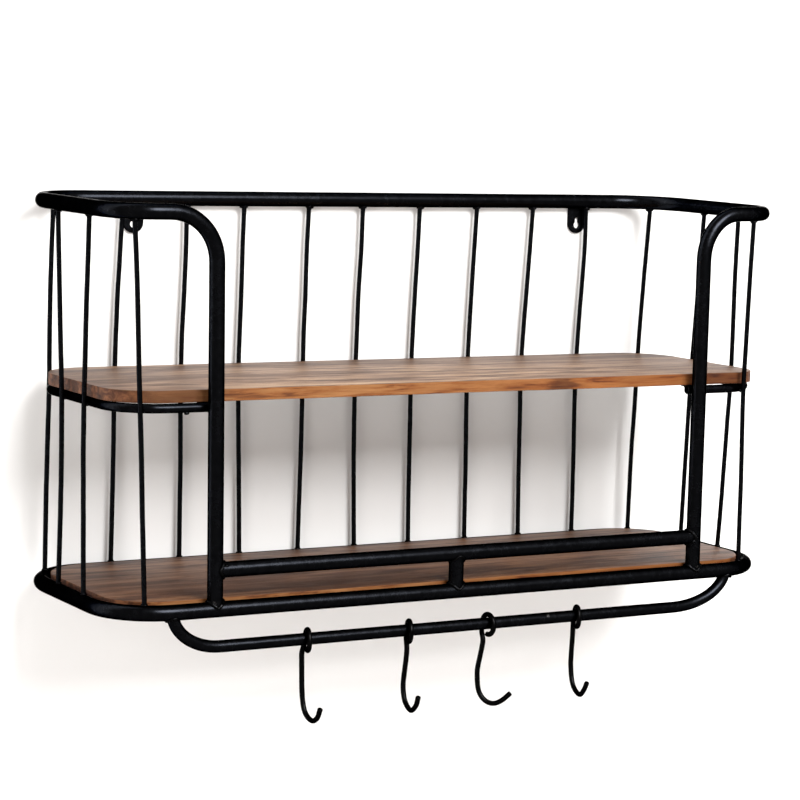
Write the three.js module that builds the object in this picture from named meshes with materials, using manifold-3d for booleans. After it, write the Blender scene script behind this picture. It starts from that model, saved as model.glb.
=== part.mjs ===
// Wall-hung shelf: a bent steel-tube frame with wire sides and back, two solid
// wood boards, a gallery rail, and a rail below that carries four loose hooks.
// Millimetres, +Z up. X runs along the wall, Y = 0 is the wall, the front faces
// -Y. The origin is on the wall, at the middle of the lower frame's width, level with the
// hanger holes.
import * as THREE from 'three';
import { mergeVertices } from 'three/addons/utils/BufferGeometryUtils.js';
import Module from 'manifold-3d';

// ---------------------------------------------------------------- dimensions
const GAP = 0.3;                 // clearance left between touching pieces
const TUBE_R = 8;                // 16 mm main tube
const WIRE_R = 2.6;              // 5.2 mm side and back wires
const ROD_R = 4.75;              // 9.5 mm rod under the middle board
const RAIL_R = 6.25;             // 12.5 mm hook rail
const HALF_W = 392;              // frame centreline, half width
const BACK_Y = -TUBE_R;          // centreline of the back runs
const FRONT_Y = -250;            // centreline of the front runs
const TOP_Z = 24;                // top frame centreline
const BOTTOM_Z = -366;           // bottom frame centreline
const CORNER_R = 62;             // plan bends
const TOP_FRONT_R = 46;          // tighter plan bend where the top meets the upright bend
const UPRIGHT_X = 289;
const UPRIGHT_BEND_R = 48;
const LEAN = { '-1': [-289.7, -0.0144], '1': [288.5, -0.006] };  // X of each upright at z = -162, and per mm of height
const ROD_Z = -167.3;            // middle rod centreline
const ROD_FRONT_Y = -237;        // passes just behind the uprights
const ROD_END_X = 282;           // rod stops a little inboard of the uprights
const BOARD_T = 12.3;
const MID_BOARD_Z = ROD_Z + ROD_R + 0.35;     // underside of the middle board
const LOW_BOARD_Z = BOTTOM_Z + 9 - BOARD_T;   // underside of the lower board
const GALLERY_Z = BOTTOM_Z + 39;
const POST_X = -11.2;
const HOOK_RAIL_Z = BOTTOM_Z - 37.7;
const RAIL_ENDS = { '-1': [-280.5, 52], '1': [266, 68] };  // where each end of the hook rail starts to turn up, and its reach
const EYE_R = 10.6;              // eye of a hook, centreline radius
const HOOK_R = 2.8;
const EYE_DROP = 1.25;           // eye centre below the rail centre: it hangs on the rail

// ---------------------------------------------------------------- helpers
// A path given by its stations: straight between them, one section at each.
class StationCurve extends THREE.Curve {
  constructor(points) { super(); this.points = points; }
  getPoint(t, target = new THREE.Vector3()) {
    const n = this.points.length - 1, f = Math.min(Math.max(t, 0), 1) * n;
    const i = Math.min(Math.floor(f + 1e-9), n - 1);
    return target.lerpVectors(this.points[i], this.points[i + 1], Math.min(Math.max(f - i, 0), 1));
  }
  getUtoTmapping(u) { return u; }
  getTangent(t, target = new THREE.Vector3()) {
    const n = this.points.length - 1, i = Math.round(t * n), p = this.points;
    const a = i > 0 ? p[i].clone().sub(p[i - 1]).normalize() : null;
    const b = i < n ? p[i + 1].clone().sub(p[i]).normalize() : null;
    if (!a) return target.copy(b);
    if (!b) return target.copy(a);
    return target.copy(a).add(b).normalize();
  }
}
const V = (x, y, z) => new THREE.Vector3(x, y, z);
const ring = (r, sides) => {
  const s = new THREE.Shape();
  for (let i = 0; i < sides; i++) {
    const a = i / sides * 2 * Math.PI;
    if (i) s.lineTo(r * Math.cos(a), r * Math.sin(a)); else s.moveTo(r * Math.cos(a), r * Math.sin(a));
  }
  s.closePath();
  return s;
};
const tube = (points, r, sides) => new THREE.ExtrudeGeometry(ring(r, sides), {
  steps: points.length - 1, extrudePath: new StationCurve(points), bevelEnabled: false });
// Closed tube: the same sweep without its two end caps, first and last ring merged.
const closedTube = (points, r, sides) => {
  const n = points.length, loop = points.concat([points[0].clone()]);
  class Loop extends StationCurve {
    getTangent(t, target = new THREE.Vector3()) {
      const i = Math.round(t * n) % n;
      const a = points[i].clone().sub(points[(i - 1 + n) % n]).normalize();
      const b = points[(i + 1) % n].clone().sub(points[i]).normalize();
      return target.copy(a).add(b).normalize();
    }
  }
  const g = new THREE.ExtrudeGeometry(ring(r, sides), { steps: n, extrudePath: new Loop(loop), bevelEnabled: false });
  const side = g.groups[1], src = g.getAttribute('position').array;
  const out = new THREE.BufferGeometry();
  out.setAttribute('position', new THREE.BufferAttribute(src.slice(side.start * 3, (side.start + side.count) * 3), 3));
  return mergeVertices(out, 1e-3);
};
// Points of an arc in the plane of unit vectors e1, e2, from angle a0 to a1 (degrees).
const arc = (c, e1, e2, r, a0, a1, n) => {
  const out = [];
  for (let i = 0; i <= n; i++) {
    const a = (a0 + (a1 - a0) * i / n) * Math.PI / 180;
    out.push(c.clone().addScaledVector(e1, r * Math.cos(a)).addScaledVector(e2, r * Math.sin(a)));
  }
  return out;
};
const EX = V(1, 0, 0), EY = V(0, 1, 0), EZ = V(0, 0, 1);
const mirrorX = pts => pts.map(p => V(-p.x, p.y, p.z)).reverse();

// Plan of a frame: distance s along it from the middle of the back, + to the right.
const planPoint = (s, frontR, inset = 0) => {
  const sign = Math.sign(s) || 1; let d = Math.abs(s);
  const run = HALF_W - CORNER_R, q = CORNER_R * Math.PI / 2, side = FRONT_Y * -1 + BACK_Y - CORNER_R - frontR;
  let x, y, nx, ny;
  if (d < run) { x = d; y = BACK_Y; nx = 0; ny = -1; }
  else if ((d -= run) < q) { const a = d / CORNER_R; x = run + CORNER_R * Math.sin(a); y = BACK_Y - CORNER_R + CORNER_R * Math.cos(a); nx = -Math.sin(a); ny = -Math.cos(a); }
  else if ((d -= q) < side) { x = HALF_W; y = BACK_Y - CORNER_R - d; nx = -1; ny = 0; }
  else { d -= side; const a = d / frontR; x = HALF_W - frontR + frontR * Math.cos(a); y = FRONT_Y + frontR - frontR * Math.sin(a); nx = -Math.cos(a); ny = Math.sin(a); }
  return [sign * (x + nx * inset), y + ny * inset];
};

// The uprights were not set quite plumb; the tilt fades out round the top bend.
const uprightX = (side, z) => LEAN[side][0] + LEAN[side][1] * (z + 162);
// The top frame sits a few mm to the left of the lower one and rises towards the wall.
const topShift = (x, y) => [-4 - x / 392, -0.3 + 2.1 * (y + 250) / 242];
const lean = p => {
  const [dx, dz] = topShift(p.x, p.y);
  if (Math.abs(p.y - FRONT_Y) > 0.5 || Math.abs(p.x) > UPRIGHT_X + UPRIGHT_BEND_R) return V(p.x + dx, p.y, p.z + dz);
  const side = p.x > 0 ? 1 : -1, u = Math.max(0, (Math.abs(p.x) - UPRIGHT_X) / UPRIGHT_BEND_R), t = u * u * (3 - 2 * u);
  return V(p.x + (uprightX(side, p.z) - side * UPRIGHT_X) * (1 - t) + dx * t, p.y, p.z + dz * t);
};

const group = new THREE.Group();
const steel = () => new THREE.MeshStandardMaterial({ color: 0x15171a, roughness: 0.42, metalness: 0.3 });
const wood = () => new THREE.MeshStandardMaterial({ color: 0xa9744c, roughness: 0.5, metalness: 0.0 });
const zinc = () => new THREE.MeshStandardMaterial({ color: 0x1c1d1f, roughness: 0.4, metalness: 0.6 });
const add = (name, geometry, material) => {
  const m = new THREE.Mesh(geometry, material); m.name = name; group.add(m); return m;
};

// ---------------------------------------------------------------- frame tubes
// One tube: right upright, up, bend, front corner, side, back corner, back run, and mirrored.
const cornerX = HALF_W - TOP_FRONT_R;
const rightHalf = [
  V(UPRIGHT_X, FRONT_Y, BOTTOM_Z + TUBE_R + 0.35),
  V(UPRIGHT_X, FRONT_Y, -60),
  ...arc(V(UPRIGHT_X + UPRIGHT_BEND_R, FRONT_Y, TOP_Z - UPRIGHT_BEND_R), V(-1, 0, 0), EZ, UPRIGHT_BEND_R, 0, 90, 7),
  ...arc(V(cornerX, FRONT_Y + TOP_FRONT_R, TOP_Z), V(0, -1, 0), EX, TOP_FRONT_R, 0, 90, 6),
  ...arc(V(HALF_W - CORNER_R, BACK_Y - CORNER_R, TOP_Z), EX, EY, CORNER_R, 0, 90, 7),
];
add('top_frame_tube', tube([...rightHalf, ...mirrorX(rightHalf)].map(lean), TUBE_R, 12), steel());

const quarter = (sx, sy) => arc(
  V(sx * (HALF_W - CORNER_R), sy > 0 ? BACK_Y - CORNER_R : FRONT_Y + CORNER_R, BOTTOM_Z),
  sx * sy > 0 ? V(sx, 0, 0) : V(0, sy, 0), sx * sy > 0 ? V(0, sy, 0) : V(sx, 0, 0), CORNER_R, 0, 90, 7);
add('bottom_frame_tube', closedTube([...quarter(1, 1), ...quarter(-1, 1), ...quarter(-1, -1), ...quarter(1, -1)], TUBE_R, 12), steel());

const rodSideX = HALF_W - WIRE_R - ROD_R - GAP, rodBackY = BACK_Y - WIRE_R - ROD_R - GAP;
const rodBackR = CORNER_R - WIRE_R - ROD_R - GAP, rodFrontR = 52;
const rodHalf = [
  V(ROD_END_X, ROD_FRONT_Y, ROD_Z),
  ...arc(V(rodSideX - rodFrontR, ROD_FRONT_Y + rodFrontR, ROD_Z), V(0, -1, 0), EX, rodFrontR, 0, 90, 6),
  ...arc(V(rodSideX - rodBackR, rodBackY - rodBackR, ROD_Z), EX, EY, rodBackR, 0, 90, 6),
];
add('middle_support_rod', tube([...rodHalf, ...mirrorX(rodHalf)], ROD_R, 10), steel());

add('gallery_rail', tube([V(uprightX(-1, GALLERY_Z) + TUBE_R + 0.5, FRONT_Y, GALLERY_Z), V(uprightX(1, GALLERY_Z) - TUBE_R - 0.5, FRONT_Y, GALLERY_Z)], TUBE_R, 12), steel());
add('gallery_post', tube([V(POST_X, FRONT_Y, BOTTOM_Z + TUBE_R + 0.35), V(POST_X, FRONT_Y, GALLERY_Z - TUBE_R - 0.35)], TUBE_R, 12), steel());

// Each end of the hook rail turns up to the lower frame in a quarter of an ellipse.
const railEnd = side => {
  const [cx, reach] = RAIL_ENDS[side], rise = BOTTOM_Z - HOOK_RAIL_Z, out = [];
  for (let i = 0; i <= 9; i++) {
    const a = (90 - 71.5 * i / 9) * Math.PI / 180;
    out.push(V(cx + side * reach * Math.cos(a), FRONT_Y, BOTTOM_Z - rise * Math.sin(a)));
  }
  return out;
};
add('hook_rail', tube([...railEnd(-1).reverse(), ...railEnd(1)], RAIL_R, 12), steel());

// ---------------------------------------------------------------- wires
// Heights of the stations, then for each wire its place along the frame at each height and
// how far it is set in at the rod.
const WIRE_Z = [BOTTOM_Z + TUBE_R + GAP, -310, -262, -215, ROD_Z, -122, -76, -30, TOP_Z - TUBE_R - GAP];
const WIRES = [
  ['wire_front_left', [-612.2, -611.1, -609.9, -609.0, -607.5, -607.1, -607.1, -606.7, -605.7], 3.6],
  ['wire_side_left_front', [-526.0, -524.3, -522.6, -521.2, -521.2, -524.4, -527.6, -531.7, -535.2], 0],
  ['wire_side_left_rear', [-461.4, -463.7, -465.2, -465.3, -464.1, -462.0, -460.1, -458.2, -456.3], 0],
  ['wire_corner_left', [-382.1, -381.3, -380.2, -378.0, -376.0, -374.9, -372.9, -369.8, -366.0], 0],
  ['wire_back_1', [-293.2, -292.6, -292.1, -292.0, -292.0, -290.4, -288.1, -285.1, -281.9], 0],
  ['wire_back_2', [-213.5, -213.7, -213.9, -214.7, -215.2, -214.0, -211.5, -209.3, -208.2], 0],
  ['wire_back_3', [-141.8, -143.0, -144.4, -145.8, -147.0, -145.7, -143.7, -142.4, -140.5], 0],
  ['wire_back_4', [-70.0, -69.6, -68.9, -68.7, -68.8, -67.8, -65.9, -64.4, -62.0], 0],
  ['wire_back_5', [0.7, -0.9, -2.3, -3.1, -3.2, -1.5, 0.3, 3.3, 5.0], 0],
  ['wire_back_6', [70.3, 69.4, 68.9, 68.5, 68.0, 69.8, 72.3, 75.2, 77.4], 0],
  ['wire_back_7', [144.4, 143.7, 143.1, 142.0, 141.5, 143.5, 146.1, 149.0, 152.0], 0],
  ['wire_back_8', [216.9, 215.6, 214.8, 214.1, 213.3, 216.1, 219.8, 223.5, 226.9], 0],
  ['wire_back_9', [290.8, 290.6, 289.9, 288.9, 288.9, 291.5, 295.1, 298.6, 299.6], 0],
  ['wire_corner_right', [365.6, 366.1, 366.7, 368.3, 369.2, 371.6, 374.6, 377.9, 381.3], 0],
  ['wire_side_right_rear', [443.0, 444.8, 446.5, 448.2, 450.0, 454.7, 459.5, 464.2, 469.0], 0],
  ['wire_side_right_front', [514.6, 518.0, 520.5, 522.9, 525.6, 527.6, 528.7, 530.5, 533.4], 0],
  ['wire_front_right', [615.8, 617.2, 618.4, 620.8, 622.5, 622.5, 622.2, 622.0, 621.1], 3.6],
];
for (const [name, stations, inset] of WIRES) {
  const pts = WIRE_Z.map((z, i) => {
    const up = (z - WIRE_Z[0]) / (WIRE_Z[8] - WIRE_Z[0]);
    const setIn = inset * (1 - Math.abs(z - ROD_Z) / (z < ROD_Z ? ROD_Z - WIRE_Z[0] : WIRE_Z[8] - ROD_Z));
    const [x, y] = planPoint(stations[i], CORNER_R + (TOP_FRONT_R - CORNER_R) * up, setIn);
    const [dx, dz] = topShift(x, y), t = Math.max(0, (z - ROD_Z) / (WIRE_Z[8] - ROD_Z));
    return V(x + dx * t, y, z + dz * t);
  });
  add(name, tube(pts, WIRE_R, 8), steel());
}

// ---------------------------------------------------------------- hanger tabs
// A tongue under the top back tube, flat against the wall, with a keyhole for a screw head.
const HOLE_Z = 0, TAB_T = 3, TAB_W = 22.5, TOP_RISE = 1.8;
const HANGERS = [['hanger_tab_left', -270.5], ['hanger_tab_right', 286]];
for (const [name, x] of HANGERS) {
  const top = TOP_Z + TOP_RISE - Math.sqrt(TUBE_R ** 2 - (TUBE_R - TAB_T) ** 2) - 0.45, r = TAB_W / 2, low = -11 + r;
  const s = new THREE.Shape();
  s.moveTo(-r, top); s.lineTo(-r, low);
  for (let i = 1; i <= 12; i++) { const a = Math.PI + i / 12 * Math.PI; s.lineTo(r * Math.cos(a), low + r * Math.sin(a)); }
  s.lineTo(r, top); s.closePath();
  const h = new THREE.Path(), hr = 3.9, sr = 2.4, join = Math.asin(sr / hr);
  const pts = [];
  for (let i = 0; i <= 12; i++) { const a = Math.PI / 2 + join + i / 12 * (2 * Math.PI - 2 * join); pts.push([hr * Math.cos(a), -1.5 + hr * Math.sin(a)]); }
  for (let i = 0; i <= 6; i++) { const a = i / 6 * Math.PI; pts.push([sr * Math.cos(a), HOLE_Z + 4.8 + sr * Math.sin(a)]); }
  pts.forEach(([px, pz], i) => i ? h.lineTo(px, pz) : h.moveTo(px, pz)); h.closePath();
  s.holes.push(h);
  const g = new THREE.ExtrudeGeometry(s, { depth: TAB_T, steps: 1, bevelEnabled: false });
  g.rotateX(Math.PI / 2);                       // shape x,y -> x,z ; thickness towards -Y
  g.translate(x, 0, 0);
  add(name, g, steel());
}

// ---------------------------------------------------------------- boards
const wasm = await Module(); wasm.setup();
const toSolid = g => {
  const c = g.clone(); c.deleteAttribute('normal'); c.deleteAttribute('uv');
  const m = mergeVertices(c, 1e-4);
  return new wasm.Manifold(new wasm.Mesh({ numProp: 3, vertProperties: new Float32Array(m.attributes.position.array), triVerts: new Uint32Array(m.index.array) }));
};
const toGeometry = solid => {
  const m = solid.getMesh(), g = new THREE.BufferGeometry();
  g.setAttribute('position', new THREE.BufferAttribute(new Float32Array(m.vertProperties), 3));
  g.setIndex(new THREE.BufferAttribute(new Uint32Array(m.triVerts), 1));
  return g;
};
const boardGeometry = (hx, yBack, yFront, rBack, rFront, z, rRight = rFront) => {
  const s = new THREE.Shape(), n = 8;
  const corner = (cx, cy, r, a0) => { for (let i = 0; i <= n; i++) { const a = (a0 + 90 * i / n) * Math.PI / 180; const p = [cx + r * Math.cos(a), cy + r * Math.sin(a)]; if (s.curves.length || i || a0) s.lineTo(...p); else s.moveTo(...p); } };
  corner(hx - rBack, yBack - rBack, rBack, 0);
  corner(-hx + rBack, yBack - rBack, rBack, 90);
  corner(-hx + rFront, yFront + rFront, rFront, 180);
  corner(hx - rRight, yFront + rRight, rRight, 270);
  s.closePath();
  const g = new THREE.ExtrudeGeometry(s, { depth: BOARD_T, steps: 1, bevelEnabled: false });
  g.translate(0, 0, z);
  return g;
};
const SCREW_R = 1.8, SCREW_L = 9.5;
const drilled = (g, places, z) => {
  let body = toSolid(g);
  for (const [x, y] of places) {
    const c = new THREE.CylinderGeometry(SCREW_R + GAP, SCREW_R + GAP, 24, 10);
    c.rotateX(Math.PI / 2); c.translate(x, y, z - 12 + SCREW_L);
    body = body.subtract(toSolid(c));
  }
  return toGeometry(body);
};
// Screw places: four under each board.
const MID_SCREWS = [[-291, -224.5, 'front_left'], [291, -224.5, 'front_right'], [-252, rodBackY - 13, 'back_left'], [252, rodBackY - 13, 'back_right']];
const LOW_SCREWS = [[-235, -230, 'front_left'], [235, -230, 'front_right'], [-235, -28, 'back_left'], [235, -28, 'back_right']];
const MID_YF = ROD_FRONT_Y - 1.5;
add('middle_board', drilled(boardGeometry(386.5, BACK_Y - WIRE_R - 1.6, MID_YF, 56, 50, MID_BOARD_Z, 38),
  MID_SCREWS, MID_BOARD_Z), wood());
const lowIn = TUBE_R + 1.5;
add('lower_board', drilled(boardGeometry(HALF_W - lowIn, BACK_Y - lowIn, FRONT_Y + lowIn, CORNER_R - lowIn, CORNER_R - lowIn, LOW_BOARD_Z),
  LOW_SCREWS, LOW_BOARD_Z), wood());

// ---------------------------------------------------------------- lugs and screws
// A lug is a small flat plate with a hole; its screw goes up through it into the board.
const LUG_T = 2, LUG_W = 14;
const lugGeometry = (x, y, dx, dy, length, z) => {
  // from the screw place (x, y) towards (dx, dy), ending flat at the rod or tube
  const s = new THREE.Shape(), r = LUG_W / 2;
  for (let i = 0; i <= 8; i++) { const a = Math.PI / 2 + i / 8 * Math.PI; const p = [r * Math.cos(a), r * Math.sin(a)]; i ? s.lineTo(...p) : s.moveTo(...p); }
  s.lineTo(length, -r); s.lineTo(length, r); s.closePath();
  const h = new THREE.Path(); h.absarc(0, 0, SCREW_R + 0.4, 0, 2 * Math.PI, true); s.holes.push(h);
  const g = new THREE.ExtrudeGeometry(s, { depth: LUG_T, steps: 1, bevelEnabled: false, curveSegments: 5 });
  g.rotateZ(Math.atan2(dy, dx)); g.translate(x, y, z);
  return g;
};
const screwGeometry = (x, y, z) => {
  // turned outline, head down: dome, under-head, shank, blunt point
  const P = (r, h) => new THREE.Vector2(r, h);
  const g = new THREE.LatheGeometry([P(0, -2.6), P(1.8, -2.3), P(3.3, -1.4), P(3.9, 0), P(SCREW_R, 0), P(SCREW_R, SCREW_L), P(0, SCREW_L + 1.2)], 12);
  g.rotateX(Math.PI / 2); g.translate(x, y, z);
  return g;
};
for (const [x, y, name] of MID_SCREWS) {
  const front = y < -100, z = MID_BOARD_Z - 0.3 - LUG_T;
  // front lugs reach the rod's end from behind; back lugs reach its back run
  add('lug_middle_' + name, front
    ? lugGeometry(x, y, 0, -1, 8.1, z)
    : lugGeometry(x, y, 0, 1, 13 - ROD_R - 0.5, z), steel());
  add('screw_middle_' + name, screwGeometry(x, y, z - GAP), zinc());
}
for (const [x, y, name] of LOW_SCREWS) {
  const z = LOW_BOARD_Z - 0.3 - LUG_T, toTube = y < -100 ? -1 : 1;
  const reach = (toTube < 0 ? y - FRONT_Y : BACK_Y - y) - 7.2;
  add('lug_lower_' + name, lugGeometry(x, y, 0, toTube, reach, z), steel());
  add('screw_lower_' + name, screwGeometry(x, y, z - GAP), zinc());
}

// ---------------------------------------------------------------- hooks
// Each hook is one bent wire. Its eye turns about its own axis, so eye and shank are two
// solids that meet at the eye: the eye slides on the rail, the shank swings about the eye.
const HOOKS = [
  // name, x on the rail, plan angle of the eye, plan angle of the bend, then the wire from below
  // the eye: distance behind the eye's centre, height
  ['1', -183.1, -16, 5, [[9.8, -12.5], [9.8, -22.3], [9.3, -32.5], [8.8, -42.7], [8.0, -52.9], [4.7, -68.7], [-2.2, -77.5], [-12.8, -80.4], [-21.6, -75.5], [-26.4, -65.8]]],
  ['2', -65.5, -18, -3, [[3.9, -14.8], [3.9, -24.5], [6.0, -36.5], [8.4, -48.6], [9.5, -60.7], [4.7, -74.2], [-8.8, -81.1], [-20.3, -73.9], [-25.1, -63.9]]],
  ['3', 29.8, 2, 42, [[5.0, -14.8], [5.5, -22.4], [7.3, -33.2], [9.1, -43.0], [10.1, -53.5], [8.0, -71.3], [0.6, -81.2], [-9.0, -83.5], [-17.6, -79.3], [-26.2, -71.3]]],
  ['4', 140.6, -20, -4, [[7.3, -14.2], [7.2, -22.3], [8.0, -32.3], [8.7, -43.3], [8.7, -54.5], [5.2, -69.9], [-2.2, -78.9], [-13.1, -81.9], [-21.2, -75.1], [-26.9, -66.4]]],
];
const dir = deg => { const a = deg * Math.PI / 180; return V(-Math.sin(a), Math.cos(a), 0); };
for (const [n, x, eyeYaw, hookYaw, knots] of HOOKS) {
  const c = V(x, FRONT_Y, HOOK_RAIL_Z - EYE_DROP);
  const g = new THREE.TorusGeometry(EYE_R, HOOK_R, 8, 20);
  g.rotateY(Math.PI / 2); g.rotateZ(eyeYaw * Math.PI / 180); g.translate(c.x, c.y, c.z);
  add('hook_eye_' + n, g, steel());
  const pts = new THREE.CatmullRomCurve3(knots.map(([u, z]) => c.clone().addScaledVector(dir(hookYaw), u).add(V(0, 0, z)))).getPoints(17);
  add('hook_shank_' + n, tube(pts, HOOK_R, 8), steel());
}

export default group;
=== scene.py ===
# Looks of the wall shelf with hooks: smooth tubes, bent wires, weld beads, two
# lacquered mango boards, screws and four loose wire hooks, built round the packed
# CAD frame. Metres, +Z up, the wall is the plane Y = 0, the front faces -Y.
import math

import bmesh
import bpy
from mathutils import Matrix, Quaternion, Vector, noise


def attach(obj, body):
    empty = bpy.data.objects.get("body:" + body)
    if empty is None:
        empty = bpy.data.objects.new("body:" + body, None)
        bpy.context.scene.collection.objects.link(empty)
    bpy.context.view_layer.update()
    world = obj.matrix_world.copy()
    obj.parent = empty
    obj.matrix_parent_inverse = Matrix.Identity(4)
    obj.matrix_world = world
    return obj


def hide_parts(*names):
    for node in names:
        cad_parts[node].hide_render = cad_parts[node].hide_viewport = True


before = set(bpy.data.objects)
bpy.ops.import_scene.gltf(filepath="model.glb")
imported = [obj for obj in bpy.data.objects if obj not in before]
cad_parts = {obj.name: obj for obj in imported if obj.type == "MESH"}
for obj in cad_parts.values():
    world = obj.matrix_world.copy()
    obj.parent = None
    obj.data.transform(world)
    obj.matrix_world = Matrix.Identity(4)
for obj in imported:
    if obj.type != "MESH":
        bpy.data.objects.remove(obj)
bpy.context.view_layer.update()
scene = bpy.context.scene
MM = 0.001

# ---------------------------------------------------------------- dimensions (mm)
TUBE_R, WIRE_R, ROD_R, RAIL_R = 8.0, 2.6, 4.75, 6.25
HALF_W, BACK_Y, FRONT_Y = 392.0, -8.0, -250.0
TOP_Z, BOTTOM_Z = 24.0, -366.0
CORNER_R, TOP_FRONT_R = 62.0, 46.0
UPRIGHT_X, UPRIGHT_BEND_R = 289.0, 48.0
LEAN = {-1: (-289.7, -0.0144), 1: (288.5, -0.006)}      # X of each upright at z = -162, and per mm of height
ROD_Z, ROD_FRONT_Y, ROD_END_X = -167.3, -237.0, 282.0
BOARD_T = 12.3
MID_BOARD_Z = ROD_Z + ROD_R + 0.35
LOW_BOARD_Z = BOTTOM_Z + 9 - BOARD_T
GALLERY_Z = BOTTOM_Z + 39
POST_X = -11.2
HOOK_RAIL_Z = BOTTOM_Z - 37.7
RAIL_ENDS = {-1: (-280.5, 52.0), 1: (266.0, 68.0)}     # where each end of the hook rail starts to turn up, and its reach
EYE_R, HOOK_R, EYE_DROP = 10.6, 2.8, 1.25


def V(x, y, z):
    return Vector((x, y, z))


# ---------------------------------------------------------------- mesh helpers
def mesh_object(name, verts, faces, mat, body, stands_for=(), slot=None, smooth=True, sharp=None):
    me = bpy.data.meshes.new(name)
    me.from_pydata([v * MM for v in verts], [], faces)
    bm = bmesh.new()
    bm.from_mesh(me)
    bmesh.ops.remove_doubles(bm, verts=bm.verts, dist=1e-6)
    bmesh.ops.recalc_face_normals(bm, faces=bm.faces)
    bm.to_mesh(me)
    bm.free()
    for p in me.polygons:
        p.use_smooth = smooth
    if sharp is not None:
        me.set_sharp_from_angle(angle=math.radians(sharp))
    me.materials.append(mat)
    ob = bpy.data.objects.new(name, me)
    scene.collection.objects.link(ob)
    if body:
        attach(ob, body)
    if stands_for:
        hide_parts(*stands_for)
    return ob


def arc(c, e1, e2, r, a0, a1, step=2.5):
    n = max(3, int(abs(math.radians(a1 - a0)) * r / step))
    out = []
    for i in range(n + 1):
        a = math.radians(a0 + (a1 - a0) * i / n)
        out.append(c + e1 * (r * math.cos(a)) + e2 * (r * math.sin(a)))
    return out


def densify(pts, step, closed=False):
    out = []
    n = len(pts)
    for i in range(n if closed else n - 1):
        a, b = pts[i], pts[(i + 1) % n]
        k = max(1, int(math.ceil((b - a).length / step)))
        for j in range(k):
            out.append(a.lerp(b, j / k))
    if not closed:
        out.append(pts[-1].copy())
    return out


def soften(pts, times, closed=False):
    """Evens out the change of curvature where a straight run meets a bend."""
    for _ in range(times):
        n = len(pts)
        out = []
        for i in range(n):
            if not closed and i in (0, n - 1):
                out.append(pts[i])
                continue
            out.append(pts[i] * 0.5 + (pts[i - 1] + pts[(i + 1) % n]) * 0.25)
        pts = out
    return pts


def catmull(ctrl, n):
    out = []
    p = [ctrl[0] * 2 - ctrl[1]] + list(ctrl) + [ctrl[-1] * 2 - ctrl[-2]]
    for i in range(1, len(p) - 2):
        for j in range(n):
            t = j / n
            a, b, c, d = p[i - 1], p[i], p[i + 1], p[i + 2]
            out.append(0.5 * ((2 * b) + (c - a) * t + (2 * a - 5 * b + 4 * c - d) * t * t + (3 * b - a - 3 * c + d) * t ** 3))
    out.append(ctrl[-1].copy())
    return out


def frames(pts, closed=False, up=None):
    n = len(pts)
    tang = []
    for i in range(n):
        a = pts[(i + 1) % n] if closed or i < n - 1 else pts[i]
        b = pts[i - 1] if closed or i > 0 else pts[i]
        tang.append((a - b).normalized())
    seed = up or (V(0, 0, 1) if abs(tang[0].z) < 0.9 else V(0, 1, 0))
    u = (seed - tang[0] * seed.dot(tang[0])).normalized()
    us = [u]
    for i in range(1, n):
        q = tang[i - 1].rotation_difference(tang[i])
        u = q @ us[-1]
        u = (u - tang[i] * u.dot(tang[i])).normalized()
        us.append(u)
    if closed:
        q = tang[-1].rotation_difference(tang[0])
        u_end = q @ us[-1]
        ang = math.atan2(u_end.cross(us[0]).dot(tang[0]), u_end.dot(us[0]))
        for i in range(n):
            us[i] = Quaternion(tang[i], ang * i / n) @ us[i]
    return tang, us


def sweep(pts, r, sides=32, closed=False, ends=("bevel", "bevel"), uneven=0.05, freq=0.02, seed=0.0, bevel=0.6):
    """A tube along a path. r is a number or a function of the index along the path.
    uneven is how far, in mm, the skin wanders from a perfect tube."""
    n = len(pts)
    tang, us = frames(pts, closed)
    rad = (lambda i: r) if not callable(r) else r
    verts, faces, rings = [], [], []

    def ring(c, t, u, k):
        w = t.cross(u)
        start = len(verts)
        for j in range(sides):
            a = 2 * math.pi * j / sides
            d = u * math.cos(a) + w * math.sin(a)
            q = c + d * k
            if uneven:
                m = noise.noise(q * freq + V(seed, seed * 0.7, -seed)) + 0.5 * noise.noise(q * freq * 3.1 + V(seed, 9, 4))
                q = q - d * (uneven * (0.5 + 0.5 * max(-1.0, min(1.0, m * 1.3))))
            verts.append(q)
        rings.append(start)

    def end_rings(i, sign, kind):
        c, t, u, k = pts[i], tang[i], us[i], rad(i)
        out = []
        if kind == "round":
            for j in range(1, 6):
                a = math.radians(90 * j / 6)
                out.append((c + t * (sign * k * math.sin(a)), t, u, k * math.cos(a)))
        elif kind == "bevel":
            b = min(bevel, k * 0.4)
            for j in range(1, 4):
                a = math.radians(90 * j / 3)
                out.append((c + t * (sign * b * math.sin(a)), t, u, k - b + b * math.cos(a)))
        return out

    if not closed:
        for item in reversed(end_rings(0, -1, ends[0])):
            ring(*item)
    for i in range(n):
        ring(pts[i], tang[i], us[i], rad(i))
    if not closed:
        for item in end_rings(n - 1, 1, ends[1]):
            ring(*item)
    m = len(rings)
    for i in range(m if closed else m - 1):
        a, b = rings[i], rings[(i + 1) % m]
        for j in range(sides):
            k = (j + 1) % sides
            faces.append((a + j, a + k, b + k, b + j))
    if not closed:
        faces.append(tuple(reversed(range(rings[0], rings[0] + sides))))
        faces.append(tuple(range(rings[-1], rings[-1] + sides)))
    return verts, faces


def join(parts):
    verts, faces = [], []
    for v, f in parts:
        k = len(verts)
        verts += v
        faces += [tuple(i + k for i in q) for q in f]
    return verts, faces


def mirror_x(pts):
    return [V(-p.x, p.y, p.z) for p in reversed(pts)]


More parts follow.
